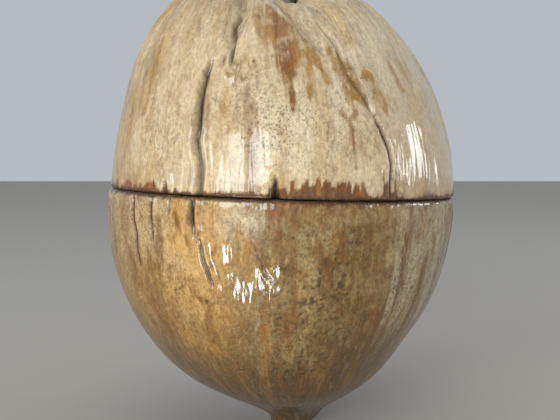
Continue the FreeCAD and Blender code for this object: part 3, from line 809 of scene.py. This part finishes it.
# ------------------ materials
class Paint:
    """Node tree of one material round a Principled shader, with short calls for the nodes used here."""

    def __init__(self, name, **values):
        self.material, self.nodes, self.links, self.shader = principled(name, **values)
        self.coords = self.nodes.new("ShaderNodeTexCoord").outputs["Object"]

    def put(self, socket, value):
        if isinstance(value, (int, float, tuple)):
            socket.default_value = value
        else:
            self.links.new(value, socket)

    def attribute(self, name, output="Fac"):
        node = self.nodes.new("ShaderNodeAttribute")
        node.attribute_name = name
        return node.outputs[output]

    def scaled(self, vector, scale):
        node = self.nodes.new("ShaderNodeMapping")
        node.inputs["Scale"].default_value = scale
        self.links.new(vector, node.inputs["Vector"])
        return node.outputs[0]

    def noise(self, vector, scale, detail=3.0, rough=0.55, distort=0.0):
        node = self.nodes.new("ShaderNodeTexNoise")
        values = {"Scale": scale, "Detail": detail, "Roughness": rough, "Distortion": distort}
        for key, value in values.items():
            node.inputs[key].default_value = value
        self.links.new(vector, node.inputs["Vector"])
        return node.outputs["Fac"]

    def span(self, value, low, high, to_low=0.0, to_high=1.0):
        node = self.nodes.new("ShaderNodeMapRange")
        for key, number in (("From Min", low), ("From Max", high), ("To Min", to_low), ("To Max", to_high)):
            node.inputs[key].default_value = number
        self.links.new(value, node.inputs["Value"])
        return node.outputs["Result"]

    def maths(self, operation, a, b=0.0):
        node = self.nodes.new("ShaderNodeMath")
        node.operation = operation
        self.put(node.inputs[0], a)
        self.put(node.inputs[1], b)
        return node.outputs[0]

    def times(self, a, b):
        return self.maths("MULTIPLY", a, b)

    def blend(self, amount, a, b, mode="MIX"):
        node = self.nodes.new("ShaderNodeMix")
        node.data_type = "RGBA"
        node.blend_type = mode
        for place, value in ((0, amount), (6, a), (7, b)):
            self.put(node.inputs[place], value)
        return node.outputs[2]

    def bump(self, height, strength, distance, socket="Normal"):
        node = self.nodes.new("ShaderNodeBump")
        node.inputs["Strength"].default_value = strength
        node.inputs["Distance"].default_value = distance
        self.links.new(height, node.inputs["Height"])
        self.links.new(node.outputs["Normal"], self.shader.inputs[socket])

    def colour(self, value):
        self.links.new(value, self.shader.inputs["Base Color"])

    def roughness(self, value):
        self.links.new(value, self.shader.inputs["Roughness"])


def husk_skin_material():
    """Dried, stained husk under a glossy varnish; the mesh carries its tint, which holds painted shade and a
    painted sheen, the mask of the grooves' painted core shade, which also roughens them, and the speck
    fields.
    """
    p = Paint("husk_skin", Roughness=0.42, Coat_Weight=0.75, Coat_Roughness=0.05, Coat_IOR=1.5,
              Specular_IOR_Level=0.12)
    tint = p.attribute("tint", "Color")
    around = p.scaled(p.attribute("around", "Vector"), (60.0, 60.0, 34.0))
    speck_mask, crease_shade_and_dirt, strength = p.attribute("specks"), p.attribute("crease_shade_and_dirt"), p.attribute("mottled")
    fibres = p.noise(around, 1.1, 5.0, 0.62, 0.3)
    threads = p.noise(around, 3.4, 3.0, 0.6, 0.2)
    mottle = p.noise(around, 0.40, 7.0, 0.68, 0.5)
    fine = p.noise(p.coords, 560.0, 4.0, 0.65, 0.3)
    grain = p.noise(p.coords, 1300.0, 3.0, 0.6)
    cloud = p.noise(p.coords, 55.0, 3.0, 0.5, 0.4)

    darker = p.times(p.span(mottle, 0.50, 0.66, 0.0, 0.9), strength)
    colour = p.blend(darker, tint, (0.165, 0.072, 0.017, 1))
    paler = p.times(p.span(mottle, 0.46, 0.28, 0.0, 0.30), strength)
    colour = p.blend(paler, colour, (0.60, 0.45, 0.24, 1))
    weak_grain, strong_grain = p.span(fine, 0.25, 0.75, 1.10, 0.88), p.span(fine, 0.30, 0.70, 1.24, 0.72)
    shade = p.blend(strength, weak_grain, strong_grain)
    shade = p.times(p.span(fibres, 0.30, 0.72, 1.15, 0.76), shade)
    shade = p.times(shade, p.span(threads, 0.25, 0.75, 1.08, 0.88))
    colour = p.blend(1.0, colour, shade, "MULTIPLY")
    # hair cracks: thin contour lines of a drawn-out noise, in patches
    contour = p.maths("ABSOLUTE", p.maths("SUBTRACT", p.noise(around, 0.22, 4.0, 0.6, 1.0), 0.5))
    crack_patches = p.span(p.noise(p.coords, 38.0, 2.0), 0.50, 0.60)
    crack = p.times(p.span(contour, 0.009, 0.002), crack_patches)
    colour = p.blend(p.times(crack, 0.7), colour, (0.11, 0.055, 0.022, 1))
    # splits: the mesh carries signed distances from their lines, so that they stay sharp
    wavy = p.span(fine, 0.3, 0.7, -0.35, 0.35)
    at_line = p.span(p.maths("ABSOLUTE", p.maths("ADD", p.attribute("split_side"), wavy)), 1.0, 0.45)
    split = p.times(at_line, p.span(p.attribute("split_gap"), 2.2, 1.4))
    split = p.times(split, p.span(p.attribute("split_dark"), 0.3, 0.9))
    colour = p.blend(p.times(split, 0.92), colour, (0.022, 0.011, 0.007, 1))
    # specks: fine dark pits in patches, a few larger ones
    chosen = p.times(speck_mask, p.span(cloud, 0.34, 0.60, 0.35, 1.1))
    small = p.span(p.noise(p.coords, 900.0, 2.0, 0.5, 0.3), 0.545, 0.62)
    dots = p.nodes.new("ShaderNodeTexVoronoi")
    dots.inputs["Scale"].default_value = 640.0
    p.links.new(p.coords, dots.inputs["Vector"])
    pick = p.nodes.new("ShaderNodeSeparateColor")
    p.links.new(dots.outputs["Color"], pick.inputs[0])
    size = p.maths("ADD", p.times(pick.outputs[0], 0.20), p.times(grain, 0.14))
    large = p.times(p.span(p.maths("SUBTRACT", size, dots.outputs["Distance"]), 0.0, 0.10),
                    p.span(p.maths("SUBTRACT", chosen, pick.outputs[1]), 0.10, 0.2))
    small = p.times(small, p.times(chosen, 0.62))
    speck = p.maths("MAXIMUM", small, p.times(large, 0.8))
    p.colour(p.blend(speck, colour, (0.085, 0.046, 0.016, 1)))
    p.roughness(p.span(p.maths("ADD", mottle, crease_shade_and_dirt), 0.3, 1.3, 0.38, 0.75))

    height = p.maths("ADD", p.times(fibres, 0.8), p.times(mottle, 0.8))
    height = p.maths("ADD", height, p.times(grain, 0.25))
    height = p.maths("SUBTRACT", height, p.times(speck, 0.5))
    p.bump(p.maths("SUBTRACT", height, p.times(crack, 0.6)), 0.55, 0.0004)
    coat = p.maths("ADD", p.times(mottle, 0.35), p.times(cloud, 1.2))
    p.bump(p.maths("ADD", coat, p.times(fibres, 0.25)), 0.12, 0.0004, "Coat Normal")
    return p.material


def grained_material(name, rough, specular, stretch, grain, span, dark, light,
                     patch, patch_span, patch_colour, rough_span, bump):
    """Fibres drawn out along the stretch, from dark to light, with patches of a third colour over them."""
    p = Paint(name, Roughness=rough, Specular_IOR_Level=specular)
    fibres = p.noise(p.scaled(p.coords, stretch), 1.0, *grain)
    colour = p.blend(p.span(fibres, *span), dark + (1,), light + (1,))
    patches = p.span(p.noise(p.coords, patch, 3.0), *patch_span)
    p.colour(p.blend(patches, colour, patch_colour + (1,)))
    p.roughness(p.span(fibres, 0.3, 0.7, *rough_span))
    p.bump(fibres, *bump)
    return p.material


def nut_shell_material():
    """Hard dark nut shell with short pale scratches, slightly polished."""
    p = Paint("nut_shell_dark", Roughness=0.45, Specular_IOR_Level=0.4)
    veins = p.noise(p.scaled(p.coords, (160.0, 160.0, 45.0)), 1.0, 5.0, 0.65, 0.8)
    hairs = p.noise(p.scaled(p.coords, (900.0, 900.0, 120.0)), 1.0, 3.0, 0.6, 0.4)
    colour = p.blend(p.span(veins, 0.3, 0.7), (0.040, 0.018, 0.009, 1), (0.135, 0.062, 0.026, 1))
    p.colour(p.blend(p.span(hairs, 0.60, 0.72, 0.0, 0.7), colour, (0.33, 0.20, 0.10, 1)))
    p.roughness(p.span(hairs, 0.3, 0.7, 0.40, 0.62))
    p.bump(p.maths("ADD", veins, p.times(hairs, 0.5)), 0.6, 0.0005)
    return p.material


def seed_material():
    """Round hard seeds: brown, glossy, paler round the scar."""
    p = Paint("hard_seed", Roughness=0.35, Specular_IOR_Level=0.5, Coat_Weight=0.3, Coat_Roughness=0.2)
    marble = p.noise(p.coords, 260.0, 5.0, 0.6, 1.6)
    grain = p.noise(p.coords, 1800.0, 2.0)
    colour = p.blend(p.span(marble, 0.32, 0.66), (0.085, 0.032, 0.013, 1), (0.30, 0.14, 0.055, 1))
    colour = p.blend(p.attribute("scar"), colour, (0.50, 0.36, 0.20, 1))
    p.colour(p.blend(p.span(grain, 0.60, 0.72, 0.0, 0.5), colour, (0.05, 0.02, 0.01, 1)))
    p.roughness(p.span(marble, 0.3, 0.7, 0.28, 0.5))
    p.bump(p.maths("ADD", marble, p.times(grain, 0.3)), 0.4, 0.0003)
    return p.material


husk_material = husk_skin_material()
fibre_material = grained_material(          # sawn husk: coarse, matt brown fibre
    "cut_fibre", 0.9, 0.2, (500.0, 500.0, 180.0), (5.0, 0.7, 1.2), (0.35, 0.65), (0.20, 0.10, 0.042),
    (0.46, 0.30, 0.155), 90.0, (0.45, 0.7, 0.0, 0.6), (0.13, 0.06, 0.024), (0.95, 0.75), (1.0, 0.0010))
shell_finish = nut_shell_material()
hoop_finish = grained_material(             # split cane, with a long grain that runs round
    "split_cane", 0.5, 0.4, (40.0, 40.0, 1500.0), (4.0, 0.6, 0.5), (0.32, 0.68), (0.36, 0.21, 0.09),
    (0.62, 0.44, 0.22), 60.0, (0.5, 0.75, 0.0, 0.5), (0.25, 0.13, 0.05), (0.42, 0.65), (0.6, 0.0003))
stalk_finish = grained_material(            # grey-brown bark with long cracks
    "dry_bark", 0.8, 0.25, (420.0, 420.0, 110.0), (5.0, 0.65, 0.7), (0.35, 0.65), (0.045, 0.028, 0.018),
    (0.24, 0.165, 0.10), 240.0, (0.5, 0.75, 0.0, 0.5), (0.36, 0.29, 0.21), (0.9, 0.65), (0.9, 0.0008))
scale_finish = grained_material(            # papery, with veins
    "papery_scale", 0.7, 0.3, (300.0, 300.0, 300.0), (4.0, 0.6, 1.5), (0.35, 0.65), (0.21, 0.115, 0.05),
    (0.46, 0.31, 0.16), 120.0, (0.52, 0.7, 0.0, 0.75), (0.09, 0.05, 0.026), (0.55, 0.85), (0.8, 0.0005))
CAD_FINISHES = {"base_inner_shell": shell_finish, "locating_ring": hoop_finish, "stem_stub": stalk_finish,
                "lid_inner_shell": shell_finish, "calyx_scale_left": scale_finish,
                "calyx_scale_right": scale_finish, "calyx_scale_rear": scale_finish}
for node_name, finish in CAD_FINISHES.items():
    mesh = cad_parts[node_name].data
    mesh.materials.clear()
    mesh.materials.append(finish)

base_skin = half_mesh("base_husk_skin", -1, ROWS, 0.0, 0.0, skin_details)
lid_skin = half_mesh("lid_husk_skin", 1, ROWS, LID_INSET, LID_SHIFT, skin_details)
for ob, node_name, body, slot in ((base_skin, "base_husk", "base", "husk_base"),
                                  (lid_skin, "lid_husk", "lid", "husk_lid")):
    ob.data.materials.append(husk_material)
    ob.data.materials.append(fibre_material)
    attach(ob, body)
    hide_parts(node_name)


# ------------------ seeds
def seed_piece(node_name, number, material):
    """Wrinkled round seed with a scar, inside the CAD ball that it stands for."""
    low, high = [np.array(corner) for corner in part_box(node_name)]
    centre, radius = (low + high) / 2, float((high - low).min()) / 2
    bm = bmesh.new()
    bmesh.ops.create_icosphere(bm, subdivisions=5, radius=1.0)
    mesh = bpy.data.meshes.new(node_name + "_body")
    bm.to_mesh(mesh)
    bm.free()
    unit = np.zeros(len(mesh.vertices) * 3)
    mesh.vertices.foreach_get("co", unit)
    unit = unit.reshape(-1, 3)
    turn_angle = 2.4 * number
    scar = np.array([math.cos(turn_angle), math.sin(turn_angle), 0.5 * math.sin(1.7 * number)])
    scar /= np.linalg.norm(scar)
    facing = unit @ scar
    near_scar = smooth((facing - 0.86) / 0.10)
    form = 1.0 - 0.05 * abs(noise(unit * 1.6, 50 + number)) - 0.035 * abs(noise(unit * 6.0, 80 + number))
    form = form - 0.10 * near_scar + 0.05 * smooth((facing - 0.78) / 0.08) * (1 - near_scar) - 0.05
    mesh.vertices.foreach_set("co", (centre + unit * np.clip(form, 0, 1)[:, None] * radius).reshape(-1))
    mesh.attributes.new("scar", "FLOAT", "POINT").data.foreach_set("value", near_scar)
    mesh.polygons.foreach_set("use_smooth", [True] * len(mesh.polygons))
    mesh.materials.append(material)
    mesh.update()
    seed = bpy.data.objects.new(node_name + "_body", mesh)
    scene.collection.objects.link(seed)
    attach(seed, node_name)
    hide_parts(node_name)


seed_finish = seed_material()
for number in range(1, 13):
    seed_piece(f"seed_{number:02d}", number, seed_finish)

bpy.context.view_layer.update()
